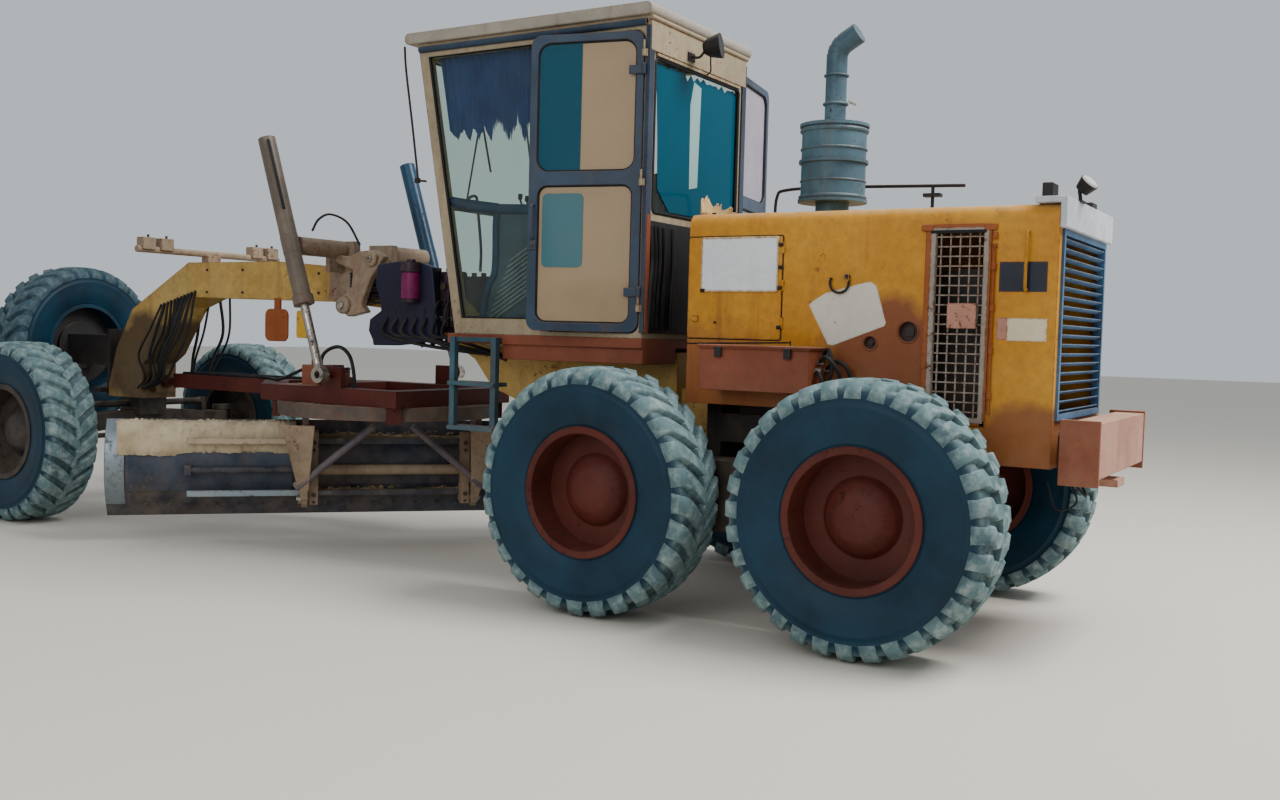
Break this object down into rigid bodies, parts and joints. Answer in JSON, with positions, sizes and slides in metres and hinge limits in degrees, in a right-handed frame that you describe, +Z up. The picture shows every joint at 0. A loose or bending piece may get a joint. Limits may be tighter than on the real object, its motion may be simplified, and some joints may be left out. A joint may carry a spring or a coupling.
{
  "type": "articulated motor grader",
  "caption": "Articulated motor grader: tandem-drive rear frame with hood, cab, arched beam, steered front axle, drawbar, turning circle and side-shifting blade.",
  "frame": {"origin": "on the ground, under the middle of the whole machine's length and width", "axes": "+X forwards, +Y to the operator's left, +Z up"},
  "size_m": [8.772, 2.8044, 3.3772],
  "materials": {
    "yellow_paint": "worn gloss paint, dusty",
    "brown_paint": "faded and rusty paint",
    "rust_red_paint": "rusty matt paint",
    "tan_paint": "dusty matt paint",
    "frame_steel": "greasy dark paint",
    "white_paint": "white paint",
    "cream_paint": "chalky cream paint",
    "blue_grille": "dark blue paint",
    "grille_mesh": "rusty wire mesh",
    "door_paint": "dark blue grey paint",
    "silencer_steel": "heat-stained grey blue paint",
    "tyre_rubber": "dusty rubber",
    "rim_paint": "rusty red paint",
    "cast_block": "oily cast iron",
    "pane_glass": "tinted green glass",
    "curtain_cloth": "navy woven cloth",
    "seat_cover": "black vinyl",
    "console_plastic": "grained black plastic",
    "step_paint": "worn teal paint",
    "valve_paint": "oily dark paint",
    "rod_steel": "greasy chromed steel",
    "blade_steel": "soil-covered steel"
  },
  "bodies": {
    "rear_frame": {"rear_frame": "frame_steel", "tandem_cases": "frame_steel", "engine_block": "cast_block", "hood": "yellow_paint", "hood_cap": "white_paint", "side_grilles": "grille_mesh", "radiator_grille": "blue_grille", "bumper": "tan_paint", "silencer": "silencer_steel", "tool_boxes": "brown_paint", "rear_lamps": "frame_steel"},
    "front_frame": {"front_frame": "yellow_paint", "cab_floor": "brown_paint", "cab_shell": "cream_paint", "cab_roof": "cream_paint", "cab_glass": "pane_glass", "curtain": "curtain_cloth", "seat": "seat_cover", "console": "console_plastic", "steps": "step_paint", "hydraulics": "valve_paint", "lift_arms": "tan_paint", "light_bar": "tan_paint", "front_axle": "frame_steel", "spare_carrier": "frame_steel", "spare_tyre": "tyre_rubber"},
    "wheel_rear_left": {"tyre_rear_left": "tyre_rubber", "rim_rear_left": "rim_paint"},
    "wheel_rear_right": {"tyre_rear_right": "tyre_rubber", "rim_rear_right": "rim_paint"},
    "wheel_mid_left": {"tyre_mid_left": "tyre_rubber", "rim_mid_left": "rim_paint"},
    "wheel_mid_right": {"tyre_mid_right": "tyre_rubber", "rim_mid_right": "rim_paint"},
    "wheel_front_left": {"tyre_front_left": "tyre_rubber", "rim_front_left": "rim_paint"},
    "wheel_front_right": {"tyre_front_right": "tyre_rubber", "rim_front_right": "rim_paint"},
    "knuckle_left": {"knuckle_left": "frame_steel"},
    "knuckle_right": {"knuckle_right": "frame_steel"},
    "tie_rod": {"tie_rod": "frame_steel"},
    "door_left": {"door_left": "door_paint"},
    "door_right": {"door_right": "door_paint"},
    "drawbar": {"drawbar": "rust_red_paint"},
    "circle": {"circle": "tan_paint"},
    "slide_brackets": {"slide_brackets": "tan_paint"},
    "moldboard": {"moldboard": "blade_steel"},
    "lift_barrel_left": {"lift_barrel_left": "tan_paint"},
    "lift_rod_left": {"lift_rod_left": "rod_steel"},
    "lift_barrel_right": {"lift_barrel_right": "tan_paint"},
    "lift_rod_right": {"lift_rod_right": "rod_steel"}
  },
  "joints": [
    {"name": "articulation", "type": "hinge", "parent": "rear_frame", "child": "front_frame", "pos_m": [-2.036, 0, 1.005], "axis": [0, 0, 1], "range_deg": [-20, 20]},
    {"name": "roll_rear_left", "type": "hinge", "parent": "rear_frame", "child": "wheel_rear_left", "pos_m": [-3.3975, 1, 0.675], "axis": [0, 1, 0], "continuous": true},
    {"name": "roll_rear_right", "type": "hinge", "parent": "rear_frame", "child": "wheel_rear_right", "pos_m": [-3.3975, -1, 0.675], "axis": [0, 1, 0], "continuous": true},
    {"name": "roll_mid_left", "type": "hinge", "parent": "rear_frame", "child": "wheel_mid_left", "pos_m": [-1.8745, 1, 0.675], "axis": [0, 1, 0], "continuous": true},
    {"name": "roll_mid_right", "type": "hinge", "parent": "rear_frame", "child": "wheel_mid_right", "pos_m": [-1.8745, -1, 0.675], "axis": [0, 1, 0], "continuous": true},
    {"name": "steer_left", "type": "hinge", "parent": "front_frame", "child": "knuckle_left", "pos_m": [3.281, 0.78, 0.69], "axis": [0, 0, 1], "range_deg": [-50, 50]},
    {"name": "steer_right", "type": "hinge", "parent": "front_frame", "child": "knuckle_right", "pos_m": [3.281, -0.78, 0.69], "axis": [0, 0, 1], "range_deg": [-50, 50]},
    {"name": "tie_rod_travel", "type": "slide", "parent": "front_frame", "child": "tie_rod", "axis": [0, -1, 0], "range_m": [-0.1686, 0.1686]},
    {"name": "roll_front_left", "type": "hinge", "parent": "knuckle_left", "child": "wheel_front_left", "pos_m": [3.281, 1.05, 0.675], "axis": [0, 1, 0], "continuous": true},
    {"name": "roll_front_right", "type": "hinge", "parent": "knuckle_right", "child": "wheel_front_right", "pos_m": [3.281, -1.05, 0.675], "axis": [0, 1, 0], "continuous": true},
    {"name": "door_left_swing", "type": "hinge", "parent": "front_frame", "child": "door_left", "pos_m": [-1.866, 0.616, 2.38], "axis": [0, 0, 1], "range_deg": [-12, 78]},
    {"name": "door_right_swing", "type": "hinge", "parent": "front_frame", "child": "door_right", "pos_m": [-1.866, -0.616, 2.38], "axis": [0, 0, 1], "range_deg": [-10, 80]},
    {"name": "drawbar_lift", "type": "hinge", "parent": "front_frame", "child": "drawbar", "pos_m": [2.984, 0, 1.04], "axis": [0, 1, 0], "range_deg": [-22, 5]},
    {"name": "circle_turn", "type": "hinge", "parent": "drawbar", "child": "circle", "pos_m": [0.564, 0, 0.95], "axis": [0, 0, 1], "continuous": true},
    {"name": "blade_tip", "type": "hinge", "parent": "circle", "child": "slide_brackets", "pos_m": [0.43236, 0.12276, 0.33], "axis": [0.682, 0.7314, 0], "range_deg": [-5, 40]},
    {"name": "blade_shift", "type": "slide", "parent": "slide_brackets", "child": "moldboard", "axis": [0.682, 0.7314, 0], "range_m": [-0.715, 0.46]},
    {"name": "lift_swing_left", "type": "hinge", "parent": "front_frame", "child": "lift_barrel_left", "pos_m": [0.824, 0.7, 2.06], "axis": [0, 1, 0], "range_deg": [-13.3, 3.1]},
    {"name": "lift_rod_travel_left", "type": "slide", "parent": "lift_barrel_left", "child": "lift_rod_left", "axis": [-0.3195, 0, -0.9476], "range_m": [-0.206, 0.904]},
    {"name": "lift_swing_right", "type": "hinge", "parent": "front_frame", "child": "lift_barrel_right", "pos_m": [0.824, -0.7, 2.06], "axis": [0, 1, 0], "range_deg": [-13.3, 3.1]},
    {"name": "lift_rod_travel_right", "type": "slide", "parent": "lift_barrel_right", "child": "lift_rod_right", "axis": [-0.3195, 0, -0.9476], "range_m": [-0.206, 0.904]}
  ],
  "couplings": [
    {"joint": "steer_right", "follows": "steer_left", "ratio": 1},
    {"joint": "tie_rod_travel", "follows": "steer_left", "m_per_rad": 0.1931},
    {"joint": "lift_swing_left", "follows": "drawbar_lift", "ratio": 0.6},
    {"joint": "lift_rod_travel_left", "follows": "drawbar_lift", "m_per_rad": -2.35},
    {"joint": "lift_swing_right", "follows": "drawbar_lift", "ratio": 0.6},
    {"joint": "lift_rod_travel_right", "follows": "drawbar_lift", "m_per_rad": -2.35}
  ]
}
